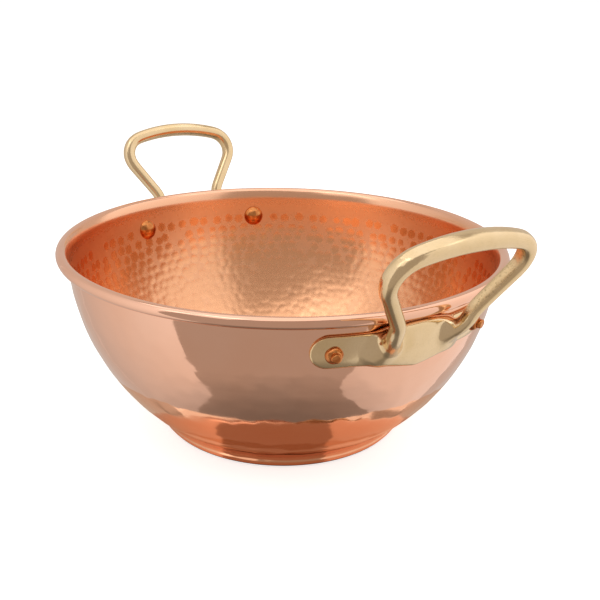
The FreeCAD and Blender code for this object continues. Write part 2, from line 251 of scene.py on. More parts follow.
def inside_marks():
    """Centres, radii, depths and polish of the hammer marks, in rows down the wall and over the base."""
    line = sheet_sides()[0][::-1]
    s = lengths(line)
    centres, radii, depths, shines = [], [], [], []
    row, at = 0, s[np.argmax(line[:, 1] < ROW_FIRST_Z)]
    keep_off = rivet_points()
    while at < s[-1] - MARKS_END:
        crowd = smooth_step(0, CROWD_ROWS, row)
        gap = MARK_GAP - MARK_CLOSER * crowd
        count = max(1, round(2 * math.pi * np.interp(at, s, line[:, 0]) / gap))
        places = np.arange(count) + rng.uniform() + rng.normal(0, AROUND_SPREAD, count)
        offs = rng.normal(0, OFF_SPREAD + OFF_CROWDED * crowd, count)
        for turn, off in zip(places * 2 * math.pi / count, offs):
            r = np.interp(at + off, s, line[:, 0])
            z = np.interp(at + off, s, line[:, 1])
            centre = (r * math.cos(turn), r * math.sin(turn), z)
            near_rivet = min(math.dist(centre, q) for q in keep_off) < HEAD_R + RIVET_CLEAR
            missed = rng.uniform() < MISSED
            size = rng.normal(1.0, SIZE_SPREAD)
            deep = rng.uniform(*DEPTH_SPREAD)
            if not near_rivet and not missed:
                centres.append(centre)
                radii.append(MARK_R * size * (1 + MARK_WIDER * crowd))
                shines.append(1 - CROWD_DULL * crowd)
                depths.append(MARK_DEPTH * deep * (DEPTH_SHARE + DEPTH_CROWDED * crowd))
        at += ROW_GAP_FIRST if row == 0 else ROW_GAP - ROW_CLOSER * crowd
        row += 1
    return np.array(centres), np.array(radii), np.array(depths), np.array(shines)


def outside_facets(line):
    """Centres of the soft facets on the outside, in rows from under the rim to the base's middle."""
    s = lengths(line)
    centres = []
    at = FACETS_END
    while at < s[-1] - FACETS_END:
        count = max(1, round(2 * math.pi * np.interp(at, s, line[:, 0]) / FACET))
        places = np.arange(count) + rng.uniform() + rng.normal(0, FACET_SPREAD, count)
        offs = rng.normal(0, FACET_SPREAD * FACET, count)
        for turn, off in zip(places * 2 * math.pi / count, offs):
            r = np.interp(at + off, s, line[:, 0])
            z = np.interp(at + off, s, line[:, 1])
            centres.append((r * math.cos(turn), r * math.sin(turn), z))
        at += FACET_ROWS * FACET
    return np.array(centres)


def tree_of(points):
    tree = kdtree.KDTree(len(points))
    for i, p in enumerate(points):
        tree.insert(p, i)
    tree.balance()
    return tree


def mark_field(points):
    """Depth of the hammer marks at each point, and how polished the mark that it lies in is (0 to 1), which
    also sets how much of the painted reflection tint it takes.
    """
    centres, radii, depths, shines = inside_marks()
    tree = tree_of(centres)
    reach = radii.max()
    sunk, struck = np.zeros(len(points)), np.zeros(len(points))
    for k, p in enumerate(points):
        for _, i, d in tree.find_range(p, reach):
            q = d / radii[i]
            if q < 1:
                sunk[k] = max(sunk[k], depths[i] * (1 - q ** MARK_POWER))
                struck[k] = max(struck[k], shines[i] * min(1.0, (1 - q) * SHINE_EDGE))
    return sunk, struck


def facet_field(points, centres):
    """Height of the soft facets at each point: each is a patch that the hammer left flatter than the bowl."""
    tree = tree_of(centres)
    high = np.zeros(len(points))
    for k, p in enumerate(points):
        off = np.array([d for _, _, d in tree.find_n(p, FACET_NEAR)]) / FACET
        low = (off ** 2).min()
        high[k] = low - FACET_SOFT * math.log(np.exp((low - off ** 2) / FACET_SOFT).sum())
    # half a facet off a centre the square is a quarter, and there the height is the facets' depth
    return high * 4 * FACET_DEPTH


# ---------------------------------------------------------------- the bowl

FINE, COARSE = 1.15, 2.7         # distance between vertices among the marks, and elsewhere
ROW_SHARE = 0.87                 # rows of vertices this share of it apart make even triangles
ALONG_CURL = 0.8                 # distance between the rows of the curl
FINE_MARGIN = 1                  # how far the fine rows go on above the marks of the first row
ON_AXIS = 1e-6                   # a smaller radius counts as none
SATIN_EDGE = (RIM_R - 1, RIM_R + CURL_OUT_R)     # radius over which the satin inside ends
SATIN_FLARE = (BEAD_Z - 10, BEAD_Z - 3)      # height over which it turns glossier
FLARE_GLOSS = 0.4                # share of the satin that is lost there


def pick_rows(points, step):
    """Points about a step apart along a line, from its first to its last."""
    s = lengths(points)
    marks = np.linspace(0, s[-1], max(2, round(s[-1] / step)) + 1)
    return np.stack([np.interp(marks, s, points[:, k]) for k in (0, 1)], 1)


def zip_rings(a, b):
    """Triangles between two neighbouring rings of vertex numbers, whatever their counts."""
    n, m = len(a), len(b)
    if n == 1:
        return np.stack([np.full(m, a[0]), b, np.roll(b, -1)], 1)
    if m == 1:
        return np.stack([a, np.full(n, b[0]), np.roll(a, -1)], 1)
    order = np.argsort(np.concatenate([(np.arange(n) + 1) / n, (np.arange(m) + 1) / m]), kind="stable")
    first = order < n
    i = np.cumsum(first) - first
    j = np.cumsum(~first) - ~first
    third = np.where(first, a[(i + 1) % n], b[(j + 1) % m])
    return np.stack([a[i % n], b[j % m], third], 1)


def lathe(rows, spacings):
    """Vertices, outward normals, row numbers and triangles of a turned closed surface."""
    tangent = np.gradient(rows, axis=0)
    normal = np.stack([-tangent[:, 1], tangent[:, 0]], 1)
    normal /= np.linalg.norm(normal, axis=1)[:, None]
    normal[0], normal[-1] = (0, 1), (0, -1)
    points, normals, row_of, rings = [], [], [], []
    total = 0
    for k, ((r, z), spacing) in enumerate(zip(rows, spacings)):
        count = 1 if r < ON_AXIS else max(8, round(2 * math.pi * r / spacing))
        turn = (np.arange(count) + 0.5 * (k % 2)) * 2 * math.pi / count
        c, s = np.cos(turn), np.sin(turn)
        points.append(np.stack([r * c, r * s, np.full(count, z)], 1))
        normals.append(np.stack([normal[k, 0] * c, normal[k, 0] * s, np.full(count, normal[k, 1])], 1))
        row_of.append(np.full(count, k))
        rings.append(np.arange(total, total + count))
        total += count
    faces = [zip_rings(a, b) for a, b in zip(rings, rings[1:])]
    return np.concatenate(points), np.concatenate(normals), np.concatenate(row_of), np.concatenate(faces)


def build_bowl(material):
    """The hammered sheet, from the axis inside, over the curled rim and down the outside."""
    inside, curl, outside = sheet_sides()
    band_from = np.argmax(inside[:, 1] > ROW_FIRST_Z + MARK_R + FINE_MARGIN)
    parts = [(pick_rows(inside[:band_from], FINE * ROW_SHARE)[:-1], FINE, "marks"),
             (pick_rows(inside[band_from - 1:], COARSE)[:-1], COARSE, "band"),
             (pick_rows(curl, ALONG_CURL)[:-1], COARSE, "curl"),
             (pick_rows(outside, COARSE * ROW_SHARE), COARSE, "outside")]
    rows = np.concatenate([p[0] for p in parts])
    spacings = np.concatenate([[p[1]] * len(p[0]) for p in parts])
    kinds = np.concatenate([[p[2]] * len(p[0]) for p in parts])
    points, normals, row_of, faces = lathe(rows, spacings)
    kind = kinds[row_of]
    sunk, struck = np.zeros(len(points)), np.zeros(len(points))
    marked = kind == "marks"
    sunk[marked], struck[marked] = mark_field(points[marked])
    outer = kind == "outside"
    height = points[outer][:, 2]
    fade = smooth_step(*FACETS_FADE_TOP, height - BEAD_Z) * smooth_step(*FACETS_FADE_FOOT, height)
    sunk[outer] = (FACET_DEPTH - facet_field(points[outer], outside_facets(outside))) * fade
    points = points - normals * sunk[:, None]
    bowl = make_piece("hammered_bowl", points, faces.tolist(), "bowl_shell", material)
    inside_rim = 1 - smooth_step(*SATIN_EDGE, np.hypot(points[:, 0], points[:, 1]))
    satin = inside_rim * (1 - FLARE_GLOSS * smooth_step(*SATIN_FLARE, points[:, 2]))
    add_mask(bowl, "satin", np.where(outer, 0, satin))
    add_mask(bowl, "struck", struck)


# ---------------------------------------------------------------- the handles

# The strap's middle line is drawn in a plane, as (t across, h up), then leaned out and bent in at its foot
LEAN = math.radians(24.4)        # of the loop, from upright
ROOT_LEAN, ROOT_H = math.radians(62.0), 18.0     # of a leg's foot, and how far below h = 0 that is
LOOP_X0, LOOP_Z0 = 143.7, BEAD_Z - 2.6           # where h = 0
LEG_T0, LEG_ROOT_T = 23.0, 18.4  # across, at h = 0 and at the foot
LEG_SPLAY, LEG_BEND_R = math.radians(32.1), 11.0
CORNER_R, CORNER_T = 13.6, 26.6
ARCH_R = 111.0
BEND_POINTS, RUN_POINTS, CORNER_POINTS, ARCH_POINTS = 12, 20, 24, 20
BAR_HALF, LEG_HALF, ROOT_HALF = np.array((4.4, 5.4)), np.array((3.7, 3.9)), np.array((4.4, 4.4))
SECTION_POWER = 2.5              # of the strap's section: 2 is an ellipse, more is squarer
LINE_STEP, LINE_EASE = 1.2, 2.0  # between the line's points, and how far its bends flow into each other
RIDGE, RIDGE_LEAN, RIDGE_OUT = 7.0, math.radians(46.0), 4.5      # each leg fades away down the plate

# The plate
STEP_FROM, STEP_TOP, STEP_FAN = 20.5, 6.0, 0.4   # where the thick middle ends, and over how long
CROWN = 1.5                      # how much thinner the plate is towards its edge
EDGE_R, EDGE_R_MORE = 1.3, 1.2   # rounding of its edges, and how much more in the middle
LOW_POINT_R = 1.5                # softness of the lower edge's point
BRIDGE_CORNER_R, LOBE_BLEND = 6.0, 2.0
ROOT_FILLET = 6.0                # radius of the hollow where a leg meets the plate
WALL_LAP, BEAD_GAP = 0.25, 0.4   # how far the casting goes into the sheet, and keeps off the bead

# The grid of distances that the casting is drawn from
VOXEL = 0.6
GRID_LOW, GRID_SIZE = np.array((112.0, -60.0, 80.0)), np.array((64.0, 120.0, 90.0))
STRAP_REACH = 11.0               # how far round the strap the distance is worked out
FAR = 20.0                       # stands for any longer distance
SMOOTH_ROUNDS, SMOOTH_SHARE, SMOOTH_BACK = 6, 0.5, 1.04

# The faces that look into the loop are left as cast
LOOP_MIDDLE_H = 24
CAST_FACING = (0.55, 0.85)       # cosines of how squarely a face looks in, where it starts and is fully so


def loop_line():
    """The strap's middle line (t, h), with its section's half sizes, from root to root."""
    bend = circle_points((LEG_T0 + LEG_BEND_R, 0.0), LEG_BEND_R, math.pi, math.pi - LEG_SPLAY, BEND_POINTS)
    bend_t = LEG_T0 + LEG_BEND_R * (1 - math.cos(LEG_SPLAY))
    bend_h = LEG_BEND_R * math.sin(LEG_SPLAY)
    leg_run = (CORNER_T + CORNER_R * math.cos(LEG_SPLAY) - bend_t) / math.sin(LEG_SPLAY)
    corner_h = bend_h + leg_run * math.cos(LEG_SPLAY) + CORNER_R * math.sin(LEG_SPLAY)
    arch_h = corner_h - math.sqrt((ARCH_R - CORNER_R) ** 2 - CORNER_T ** 2)
    arch_from = math.pi / 2 - math.asin(CORNER_T / (ARCH_R - CORNER_R))
    share = np.linspace(0, 1, RUN_POINTS, endpoint=False)
    root_t = LEG_ROOT_T + (LEG_T0 - LEG_ROOT_T) * smooth_step(0, 1, share)
    up_leg = leg_run * share
    half = np.concatenate([
        np.stack([LEG_ROOT_T + RIDGE_OUT * (1 - share), -ROOT_H - RIDGE * (1 - share)], 1),
        np.stack([root_t, -ROOT_H * (1 - share)], 1),
        bend,
        np.stack([bend_t + up_leg * math.sin(LEG_SPLAY), bend_h + up_leg * math.cos(LEG_SPLAY)], 1),
        circle_points((CORNER_T, corner_h), CORNER_R, -LEG_SPLAY, arch_from, CORNER_POINTS),
        circle_points((0.0, arch_h), ARCH_R, arch_from, math.pi / 2, ARCH_POINTS),
        [(0.0, arch_h + ARCH_R)],
    ])
    s = lengths(half)
    marks = np.linspace(0, s[-1], int(s[-1] / LINE_STEP))
    line = np.stack([np.interp(marks, s, half[:, k]) for k in (0, 1)], 1)
    to_leg = smooth_step(RIDGE, RIDGE + ROOT_H, marks)[:, None]
    to_bar = smooth_step(RIDGE + ROOT_H, s[-1], marks)[:, None]
    size = ROOT_HALF + (LEG_HALF - ROOT_HALF) * to_leg + (BAR_HALF - LEG_HALF) * to_bar
    whole = np.concatenate([line, (line * (-1, 1))[-2::-1]])
    return eased(whole, LINE_EASE / LINE_STEP), np.concatenate([size, size[-2::-1]])


def place(line):
    """Points (t, h) in the row frame, and the outward direction at each."""
    t, h = line[:, 0], line[:, 1]
    bent = np.clip(-h, 0, ROOT_H)
    past = np.maximum(-h - ROOT_H, 0)
    turn = LEAN + (ROOT_LEAN - LEAN) * bent / ROOT_H
    radius = ROOT_H / (ROOT_LEAN - LEAN)
    x = LOOP_X0 + np.maximum(h, 0) * math.sin(LEAN) + radius * (np.cos(turn) - math.cos(LEAN))
    z = LOOP_Z0 + np.maximum(h, 0) * math.cos(LEAN) - radius * (np.sin(turn) - math.sin(LEAN))
    x = x - past * math.sin(RIDGE_LEAN)
    z = z - past * math.cos(RIDGE_LEAN)
    facing = np.where(past > 0, RIDGE_LEAN, turn)
    return np.stack([x, t, z], 1), np.stack([np.cos(facing), 0 * t, -np.sin(facing)], 1)


def stretch_distance(q, span, along, out, size_from, size_to):
    """Distance from a straight stretch of the strap, which starts at zero and changes size along its span."""
    normal = out - along * (out @ along)
    normal /= np.linalg.norm(normal)
    side = np.cross(along, normal)
    share = np.clip((q @ along) / span, 0, 1)
    q = q - (share * span)[..., None] * along
    half = size_from + (size_to - size_from) * share[..., None]
    a, b, c = q @ side, q @ normal, q @ along
    power = SECTION_POWER
    k = ((np.abs(a) / half[..., 0]) ** power + (np.abs(b) / half[..., 1]) ** power + 1e-9) ** (1 / power)
    d = np.sqrt(a * a + b * b) * (1 - 1 / k)
    d = np.where(k < 1e-3, -half.min(-1), d)
    # past either end of the stretch, the distance from its end face
    return np.where(c ** 2 > 1e-4, np.sqrt(np.maximum(d, 0) ** 2 + c * c) + np.minimum(d, 0), d)


def strap_field(grid):
    """Distance from the strap's skin, worked out near it: far cells keep a large number."""
    field = np.full(grid.shape[:3], FAR, np.float32)
    flat, size = loop_line()
    centres, outs = place(flat)
    for p0, p1, s0, s1, out in zip(centres, centres[1:], size, size[1:], outs):
        span = np.linalg.norm(p1 - p0)
        low = np.maximum(((np.minimum(p0, p1) - STRAP_REACH - GRID_LOW) / VOXEL).astype(int), 0)
        high = ((np.maximum(p0, p1) + STRAP_REACH - GRID_LOW) / VOXEL).astype(int) + 1
        window = tuple(slice(a, b) for a, b in zip(low, high))
        d = stretch_distance(grid[window] - p0, span, (p1 - p0) / span, out, s0, s1)
        field[window] = np.minimum(field[window], d)
    return field


def rounded_plate(outline, off_wall, thick, rounding):
    """Distance from a plate that lies on the wall, with its edges rounded."""
    u = outline + rounding
    v = np.abs(off_wall - thick / 2) - thick / 2 + rounding
    outer = np.sqrt(np.maximum(u, 0) ** 2 + np.maximum(v, 0) ** 2)
    return np.minimum(np.maximum(u, v), 0) + outer - rounding


def soft_union(a, b, width):
    h = np.clip(0.5 + 0.5 * (b - a) / width, 0, 1)
    return b + (a - b) * h - width * h * (1 - h)


def filleted(a, b, radius):
    """Two shapes as one, with a hollow fillet where they meet."""
    hollow = np.hypot(np.maximum(radius - a, 0), np.maximum(radius - b, 0))
    return np.maximum(radius, np.minimum(a, b)) - hollow


def plate_outline(y, z):
    """Distance across the wall from the plate's outline: two round lobes and a bridge between them."""
    lobe = np.hypot(np.maximum(np.abs(y) - (LOBE_HALF_L - LOBE_HALF_H), 0), z - RIVET_Z) - LOBE_HALF_H
    top = BEAD_Z - BRIDGE_TOP_DROP - (BRIDGE_END_DROP - BRIDGE_TOP_DROP) * (y / BRIDGE_HALF_L) ** 2
    # the lower edge is a shallow V with a soft point
    out = np.hypot(y, LOW_POINT_R) / BRIDGE_HALF_L
    low = RIVET_Z - LOBE_HALF_H - BRIDGE_DIP * (1 - np.minimum(out, 1))
    ends = np.abs(y) - BRIDGE_HALF_L
    bridge = -soft_union(-ends, -np.maximum(z - top, low - z), BRIDGE_CORNER_R)
    return soft_union(lobe, bridge, LOBE_BLEND)


def handle_field():
    """The casting as a grid of distances."""
    axes = [low + VOXEL * np.arange(int(size / VOXEL)) for low, size in zip(GRID_LOW, GRID_SIZE)]
    grid = np.stack(np.meshgrid(*axes, indexing="ij"), -1)
    x, y, z = grid[..., 0], grid[..., 1], grid[..., 2]
    r = np.hypot(x, y)
    off_wall = np.hypot(r - WALL_C[0], z - WALL_C[1]) - WALL_R
    # the thick middle ends sharply beside the legs and fades out more slowly below them
    fading = STEP_TOP + STEP_FAN * np.clip(BEAD_Z - BRIDGE_END_DROP - z, 0, None)
    middle = 1 - smooth_step(0, 1, (np.abs(y) - STEP_FROM) / fading)
    outline = plate_outline(y, z)
    edge = 1 - np.clip(-outline / LOBE_HALF_H, 0, 1)
    thick = LOBE_THICK + (BRIDGE_THICK - LOBE_THICK) * middle - CROWN * edge ** 2
    plate = rounded_plate(outline, off_wall, thick, EDGE_R + EDGE_R_MORE * middle)
    solid = filleted(strap_field(grid), plate, ROOT_FILLET)
    bead = np.hypot(r - BEAD_C[0], z - BEAD_C[1]) - CURL_OUT_R
    solid = np.maximum(solid, -(off_wall + WALL_LAP))
    return np.maximum(solid, BEAD_GAP - bead)


def relaxed(points, faces):
    """Each vertex moved towards the mean of its neighbours, to take out the grid's steps."""
    edges = np.concatenate([faces[:, [k, (k + 1) % faces.shape[1]]] for k in range(faces.shape[1])])
    edges = np.unique(np.sort(edges, axis=1), axis=0)
    count = np.bincount(edges.ravel(), minlength=len(points))[:, None]
    for turn in range(SMOOTH_ROUNDS):
        total = np.zeros_like(points)
        np.add.at(total, edges[:, 0], points[edges[:, 1]])
        np.add.at(total, edges[:, 1], points[edges[:, 0]])
        # every second round moves back a little more, which keeps the volume
        share = SMOOTH_SHARE if turn % 2 == 0 else -SMOOTH_SHARE * SMOOTH_BACK
        points = points + share * (total / count - points)
    return points


def casting():
    """Vertices and quads of the right handle."""
    grid = openvdb.FloatGrid(FAR)
    grid.copyFromArray(handle_field().astype(np.float32))
    points, quads = grid.convertToQuads(isovalue=0.0)
    points = relaxed(points.astype(float) * VOXEL + GRID_LOW, quads)
    return points, quads[:, ::-1]


def as_cast_mask(points):
    """1 on the faces that look into the loop, which the foundry leaves as cast."""
    up, out = LOOP_MIDDLE_H * math.cos(LEAN), LOOP_MIDDLE_H * math.sin(LEAN)
    middle = np.array((LOOP_X0 + out, 0.0, LOOP_Z0 + up))
    centres, _ = place(loop_line()[0])
    tree = tree_of(centres)
    facing = np.zeros(len(points))
    for k, p in enumerate(points):
        _, i, _ = tree.find(p)
        if p[2] > BEAD_Z:
            inward = middle - centres[i]
            away = p - centres[i]
            facing[k] = (away @ inward) / (np.linalg.norm(inward) * np.linalg.norm(away) + 1e-9)
    return smooth_step(*CAST_FACING, facing)


def build_handles(material):
    """The same casting on the right and, half a turn round, on the left."""
    points, quads = casting()
    faces, mask = quads.tolist(), as_cast_mask(points)
    for name, way in (("right", 1), ("left", -1)):
        turned = points * (way, way, 1)
        piece = make_piece(f"brass_handle_{name}", turned, faces, f"handle_{name}", material)
        add_mask(piece, "as_cast", mask)


# ---------------------------------------------------------------- the rivets

# Outlines are lists of (along the rivet's axis, radius), from the sheet or handle to just before the top
HEAD_SINK, HEAD_WAIST = 0.5, 0.93    # the button starts inside the sheet, with this share of its radius
HEAD_LIP = 0.25                  # how far out the button's dome starts
TAIL_SINK = 0.4                  # the peened dome starts inside the handle
TAIL_LIP, TAIL_EDGE = 0.7, 1.02  # how far out its edge is, and how much wider it is there
DOME_GAP = 0.2                   # from its edge to its dome
NUB_OUTLINE = [(NUB_H + 1.2, 1.05), (1.2, 1.0), (0.6, 0.98), (0.2, 0.86), (0.02, 0.62), (0.1, 0.3)]
HEAD_STEPS, TAIL_STEPS = 14, 10
HEAD_SIDES, TAIL_SIDES, NUB_SIDES = 40, 32, 24
HEAD_SEED, TAIL_SEED, NUB_SEED = 100, 200, 300
HEAD_ROUGH, TAIL_ROUGH, NUB_ROUGH = 0.012, 0.05, 0.07        # how uneven the hammer left each
TAIL_BEND, NUB_BEND = (0.2, 0.2), (0.3, 0.8)     # how far each leans, across and up
WAVES, TWIST = 4, 0.9            # uneven waves round a piece, and how far they turn along it


def dome(base, radius, height, steps):
    """Half outline of a cap, from its rim to just before its top."""
    ball = (radius ** 2 + height ** 2) / (2 * height)
    rim = math.atan2(radius, ball - height)
    a = np.linspace(rim, 0, steps, endpoint=False)
    return np.stack([base + height - ball + ball * np.cos(a), ball * np.sin(a)], 1)


def head_outline():
    edge = [(-HEAD_SINK, HEAD_R * HEAD_WAIST), (0.0, HEAD_R)]
    return np.concatenate([edge, dome(HEAD_LIP, HEAD_R, HEAD_H - HEAD_LIP, HEAD_STEPS)[1:]])


def tail_outline():
    low = LOBE_THICK - TAIL_SINK
    edge = [(low, TAIL_R), (low + TAIL_LIP, TAIL_R * TAIL_EDGE)]
    cap = dome(low + TAIL_LIP + DOME_GAP, TAIL_R, TAIL_H - DOME_GAP, TAIL_STEPS)
    return np.concatenate([edge, cap[1:]])


def nub_outline():
    """NUB_OUTLINE has distances down from the top, and shares of the radius."""
    top = LOBE_THICK + TAIL_H + NUB_H
    return np.array([(top - down, NUB_R * share) for down, share in NUB_OUTLINE])


def forged(outline, sides, seed, rough, lean=(0, 0)):
    """Points and faces of a small forged piece: turned, a little uneven, its outer end leaning over."""
    phases = np.random.default_rng(seed).uniform(0, 2 * math.pi, (2, WAVES))
    turn = np.arange(sides) * 2 * math.pi / sides
    points = []
    for x, r in outline:
        waves = [math.cos(phases[0, k]) * np.cos((k + 2) * turn + phases[1, k] + TWIST * x)
                 for k in range(WAVES)]
        swell = 1 + rough * sum(waves) / 3
        points += [(x, r * f * math.cos(a), r * f * math.sin(a)) for a, f in zip(turn, swell)]
    points = np.array(points)
    push = np.clip(points[:, 0] / outline[:, 0].max(), 0, 1) ** 2
    points[:, 1] += lean[0] * push
    points[:, 2] += lean[1] * push
    last = (len(outline) - 1) * sides
    faces = []
    for low in range(0, last, sides):
        for i in range(sides):
            j = (i + 1) % sides
            faces.append((low + i, low + j, low + sides + j, low + sides + i))
    faces.append(tuple(range(last, last + sides)))
    faces.append(tuple(reversed(range(sides))))
    return points, faces


def joined(pieces):
    """Several (points, faces) as one."""
    points, faces, total = [], [], 0
    for p, f in pieces:
        points.append(p)
        faces += [tuple(i + total for i in face) for face in f]
        total += len(p)
    return np.concatenate(points), faces


def build_rivets(material):
    """Each rivet has a button head inside and a peened tail outside, with the shank's end proud of it."""
    level = math.cos(RIVET_LEAN)
    for number, ((side, end), turn) in enumerate(RIVETS.items()):
        out = np.array((level * math.cos(turn), level * math.sin(turn), -math.sin(RIVET_LEAN)))
        across = np.array((-math.sin(turn), math.cos(turn), 0))
        up = np.cross(out, across)
        seat = np.array((RIVET_SEAT_R * math.cos(turn), RIVET_SEAT_R * math.sin(turn), RIVET_Z))
        head, head_faces = forged(head_outline(), HEAD_SIDES, HEAD_SEED + number, HEAD_ROUGH)
        # the button points into the bowl, so it is mirrored and its faces are turned over
        head = np.stack([-SHEET - head[:, 0], head[:, 1], head[:, 2]], 1)
        head_faces = [tuple(reversed(f)) for f in head_faces]
        tail = forged(tail_outline(), TAIL_SIDES, TAIL_SEED + number, TAIL_ROUGH, TAIL_BEND)
        nub = forged(nub_outline(), NUB_SIDES, NUB_SEED + number, NUB_ROUGH, NUB_BEND)
        points, faces = joined([(head, head_faces), tail, nub])
        points = seat + points[:, :1] * out + points[:, 1:2] * across + points[:, 2:] * up
        name = f"{side}_{end}"
        make_piece(f"copper_rivet_{name}", points, faces, f"rivet_{name}", material)


# ---------------------------------------------------------------- materials

def colour(*rgb):
    return (*rgb, 1.0)


COPPER, COPPER_WARM = colour(0.95, 0.575, 0.42), colour(0.94, 0.55, 0.39)
# The hammer marks' deeper orange is a painted reflection: it stands for how their smoother faces mirror the
# studio
COPPER_SATIN, STRUCK_PAINTED_REFLECTION = colour(0.96, 0.52, 0.30), colour(0.95, 0.46, 0.23)
BRASS, BRASS_WARM, BRASS_PITS = colour(0.86, 0.67, 0.42), colour(0.80, 0.60, 0.34), colour(0.30, 0.21, 0.09)
FORGED, FORGED_DARK = colour(0.72, 0.30, 0.10), colour(0.52, 0.17, 0.05)
STEEL, STEEL_PALE = colour(0.42, 0.42, 0.43), colour(0.55, 0.55, 0.56)


class Nodes:
    """A short way to add, set and join the nodes of a tree."""

    def __init__(self, tree):
        self.nodes = tree.nodes
        self.links = tree.links

    def set(self, node, values):
        """Gives sockets of a node, by name or number, a value or a link."""
        for socket, value in values.items():
            socket = node.inputs[socket]
            if isinstance(value, bpy.types.NodeSocket):
                self.links.new(value, socket)
            else:
                socket.default_value = value

    def add(self, kind, inputs=None, **settings):
        node = self.nodes.new("ShaderNode" + kind)
        for key, value in settings.items():
            setattr(node, key, value)
        self.set(node, inputs or {})
        return node

    def span(self, value, low, high, out_low, out_high):
        """A number from low to high, carried over to one from out_low to out_high."""
        return self.add("MapRange", {0: value, 1: low, 2: high, 3: out_low, 4: out_high}).outputs[0]

    def times(self, a, b):
        return self.add("Math", {0: a, 1: b}, operation="MULTIPLY").outputs[0]


class Shader(Nodes):
    """A material with one Principled shader."""

    def __init__(self, name, **values):
        self.material = bpy.data.materials.new(name)
        self.material.use_nodes = True
        super().__init__(self.material.node_tree)
        self.shader = self.nodes["Principled BSDF"]
        self.set(self.shader, values)

    def noise(self, scale, detail=3.0, rough=0.5):
        """Noise in the object's own space, scale given as marks per millimetre."""
        where = self.add("TexCoord").outputs["Object"]
        values = {"Vector": where, "Scale": scale / MM, "Detail": detail, "Roughness": rough}
        return self.add("TexNoise", values).outputs["Fac"]

    def mottled(self, scale, a, b):
        """A colour that drifts between two."""
        return self.tint(self.span(self.noise(scale, 4), 0.35, 0.65, 0, 1), a, b)

    def uneven(self, scale, low, high):
        """A number that drifts between two."""
        return self.span(self.noise(scale), 0.3, 0.7, low, high)

    def mask(self, name):
        return self.add("Attribute", attribute_name=name).outputs["Fac"]

    def mix(self, share, a, b):
        """A number between a and b."""
        return self.add("Mix", {0: share, 2: a, 3: b}, data_type="FLOAT").outputs[0]

    def tint(self, share, a, b):
        """A colour between a and b."""
        return self.add("Mix", {0: share, 6: a, 7: b}, data_type="RGBA").outputs[2]

    def bump(self, height, distance_mm, strength):
        node = self.add("Bump", {"Height": height, "Strength": strength, "Distance": distance_mm * MM})
        self.set(self.shader, {"Normal": node.outputs[0]})


def copper_sheet():
    """Polished outside, satin inside, and shinier again where the hammer struck, where a deeper orange is
    also painted in as a reflection.
    """
    m = Shader("polished_copper", Metallic=1.0)
    base = m.tint(m.mask("satin"), m.mottled(0.03, COPPER, COPPER_WARM), COPPER_SATIN)
    # painted reflection: the marks are tinted a deeper orange for how their smoother faces mirror the studio;
    # their lower roughness below is real
    base = m.tint(m.mask("struck"), base, STRUCK_PAINTED_REFLECTION)
    rough = m.mix(m.mask("struck"), m.mix(m.mask("satin"), 0.07, 0.30), 0.14)
    m.set(m.shader, {"Base Color": base, "Roughness": m.times(rough, m.uneven(0.6, 0.9, 1.15))})
    m.bump(m.noise(1.3, 4), 0.02, 0.12)
    return m.material


def cast_brass():
    """Polished with faint pits, and rougher, with dark pits, where it is left as cast."""
    m = Shader("cast_brass", Metallic=1.0)
    grain = m.noise(0.9, 5, 0.62)
    as_cast = m.mask("as_cast")
    pits = m.times(m.span(grain, 0.30, 0.48, 1, 0), m.span(as_cast, 0, 1, 0.10, 0.8))
    base = m.tint(pits, m.mottled(0.05, BRASS, BRASS_WARM), BRASS_PITS)
    m.set(m.shader, {"Base Color": base, "Roughness": m.mix(as_cast, 0.17, 0.34)})
    m.bump(grain, 0.35, m.mix(as_cast, 0.06, 0.75))
    return m.material


def rivet_copper():
    m = Shader("forged_copper", Metallic=1.0)
    base = m.mottled(0.35, FORGED, FORGED_DARK)
    m.set(m.shader, {"Base Color": base, "Roughness": m.uneven(0.8, 0.12, 0.24)})
    m.bump(m.noise(0.5), 0.3, 0.25)
    return m.material


def steel_wire():
    m = Shader("drawn_wire", Metallic=1.0)
    base = m.tint(m.noise(0.4), STEEL, STEEL_PALE)
    m.set(m.shader, {"Base Color": base, "Roughness": m.uneven(1.5, 0.3, 0.5)})
    return m.material


# ---------------------------------------------------------------- camera and studio

CAMERA_TURN, CAMERA_RISE = math.radians(59.5), math.radians(16.65)
CAMERA_FAR = 508.4               # from the middle of the rim
LENS, SENSOR, CAMERA_ROLL = 49.1, 36.0, math.radians(1.32)
AIM_SIDE, AIM_Z = 10.66, 75.25   # the point looked at: beside the axis, and above the floor

# Each softbox fills a window of directions: degrees to the right of the camera, and degrees above the rim.
# Then come its shine, and the share of it at its two sides.
SOFTBOXES = {
    "softbox_left": ((-128, -55), (-64, 58), 0.62, (0.3, 1.1)),
    "softbox_right": ((42, 130), (-64, 58), 0.66, (0.75, 1.1)),
    "softbox_back": ((130, 232), (-64, 58), 0.22, (1, 1)),
    "softbox_high": ((-66, -26), (36, 66), 1.1, (1, 1)),
}
SOFTBOX_FAR = 1.0
SOFTBOX_UPWARD = (0.45, 1.15)    # share of the shine at a softbox's foot and top
OVERHEAD_Z, OVERHEAD_WIDE, OVERHEAD_SHINE = 1.2, 1.3, 0.75
WHITE = colour(1, 1, 1)
ROOM, ROOM_SHINE = colour(1.0, 0.88, 0.78), 0.45
ROOM_DARK, ROOM_DARK_SHINE = (-0.98, -0.78), 0.20        # towards straight down, the room is darker

FLOOR_HALF, FLOOR_Z = 40, -0.0001
FLOOR_PALE, FLOOR_GLOW = colour(0.90, 0.90, 0.90), 0.69
STAND_R, STAND_Z, STAND_SIDES = 0.121, -0.0005, 96
# The stand top's brownish tint is painted shade and copper-coloured bounce light on the floor round the foot
STAND_PAINTED_SHADE_AND_BOUNCE = colour(0.82, 0.67, 0.54)


